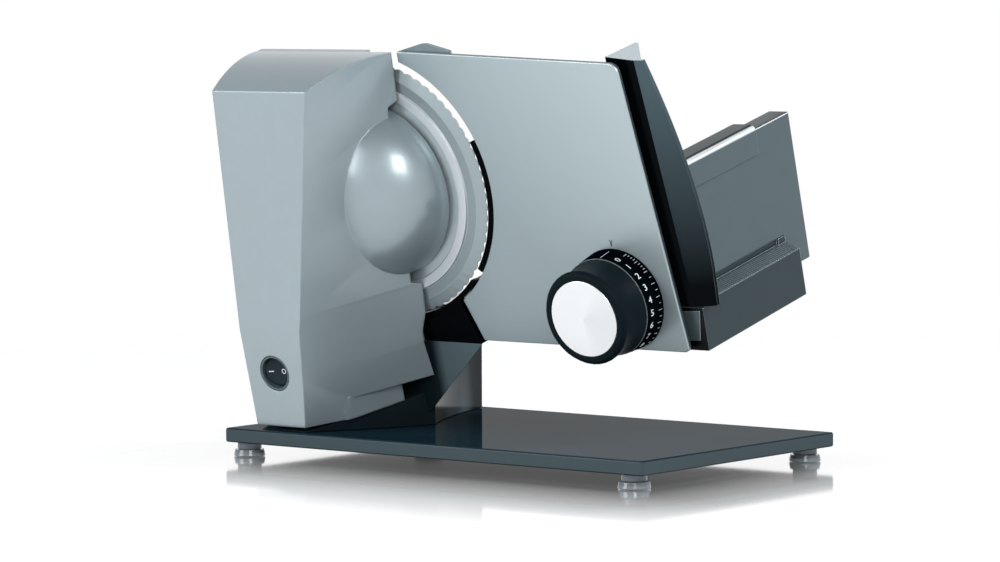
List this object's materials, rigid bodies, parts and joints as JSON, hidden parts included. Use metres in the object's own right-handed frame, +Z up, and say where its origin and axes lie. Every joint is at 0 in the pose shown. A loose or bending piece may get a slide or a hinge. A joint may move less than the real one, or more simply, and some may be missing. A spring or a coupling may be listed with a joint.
{
  "type": "electric food slicer",
  "caption": "Electric food slicer on a glass base with a leaning scalloped blade, a stop plate set by a dial knob, and a sliding food carriage with guard and remnant holder.",
  "frame": {"origin": "middle of the footprint on the surface that the feet stand on", "axes": "+X along the carriage travel to the rest side, +Y away from the user to the food side, +Z up"},
  "size_m": [0.336, 0.243, 0.2675],
  "materials": {
    "grey_paint": "satin",
    "dark_grey": "satin",
    "gloss_black": "gloss",
    "matt_black": "matt",
    "plate_aluminium": "satin",
    "blade_steel": "brushed",
    "plain_steel": "satin",
    "brass": "satin",
    "bright_metal": "satin",
    "clear_plastic": "gloss",
    "base_glass": "gloss"
  },
  "bodies": {
    "base": {"base_plate": "base_glass", "bearing_front": "plain_steel", "bearing_rear": "plain_steel", "blade_shroud": "grey_paint", "carriage_rail": "bright_metal", "cord_gland": "matt_black", "foot_back_left": "clear_plastic", "foot_back_right": "clear_plastic", "foot_front_left": "clear_plastic", "foot_front_right": "clear_plastic", "gear_cover": "matt_black", "gear_frame": "plain_steel", "guide_pin": "plain_steel", "knob_stud": "plain_steel", "motor_body": "plain_steel", "pedestal": "gloss_black", "support_arm": "plain_steel", "support_block": "gloss_black", "switch_bezel": "matt_black", "switch_body": "matt_black", "tower_housing": "grey_paint"},
    "blade": {"blade": "blade_steel", "blade_shaft": "plain_steel", "worm_wheel": "brass"},
    "lock": {"blade_lock": "bright_metal"},
    "rotor": {"motor_shaft": "plain_steel", "worm": "plain_steel"},
    "plate": {"stop_plate": "plate_aluminium", "edge_strip": "matt_black", "plate_tab": "dark_grey"},
    "knob": {"dial_ring": "matt_black", "knob_grip": "matt_black", "knob_cap": "bright_metal"},
    "carriage": {"carriage_tray": "dark_grey", "pusher_wall": "dark_grey", "thumb_guard": "gloss_black", "carriage_shoe": "matt_black"},
    "holder": {"remnant_holder": "dark_grey", "spike_plate": "plain_steel"},
    "rocker": {"switch_rocker": "gloss_black"}
  },
  "joints": [
    {"name": "blade_spin", "type": "hinge", "parent": "base", "child": "blade", "pos_m": [-0.07695, -0.03764, 0.1741], "axis": [0, 0.9659, 0.2588], "continuous": true},
    {"name": "lock_turn", "type": "hinge", "parent": "blade", "child": "lock", "pos_m": [-0.07695, -0.03764, 0.1741], "axis": [0, 0.9659, 0.2588], "range_deg": [0, 90]},
    {"name": "motor_spin", "type": "hinge", "parent": "base", "child": "rotor", "pos_m": [-0.1095, -0.0641, 0.16701], "axis": [0, -0.2588, 0.9659], "continuous": true},
    {"name": "plate_slide", "type": "slide", "parent": "base", "child": "plate", "axis": [0, -0.9659, -0.2588], "range_m": [0, 0.02]},
    {"name": "knob_turn", "type": "hinge", "parent": "plate", "child": "knob", "pos_m": [0.10075, -0.05806, 0.09906], "axis": [0, -0.9659, -0.2588], "range_deg": [0, 312]},
    {"name": "carriage_slide", "type": "slide", "parent": "base", "child": "carriage", "axis": [-1, 0, 0], "range_m": [0, 0.2]},
    {"name": "holder_slide", "type": "slide", "parent": "carriage", "child": "holder", "axis": [0, 0.9659, 0.2588], "range_m": [-0.0085, 0.034]},
    {"name": "rocker_tilt", "type": "hinge", "parent": "base", "child": "rocker", "pos_m": [-0.11965, -0.08798, 0.05801], "axis": [0, -0.2588, 0.9659], "range_deg": [-16, 0]}
  ],
  "couplings": [
    {"joint": "motor_spin", "follows": "blade_spin", "ratio": -32},
    {"joint": "knob_turn", "follows": "plate_slide", "rad_per_m": 272.27}
  ]
}
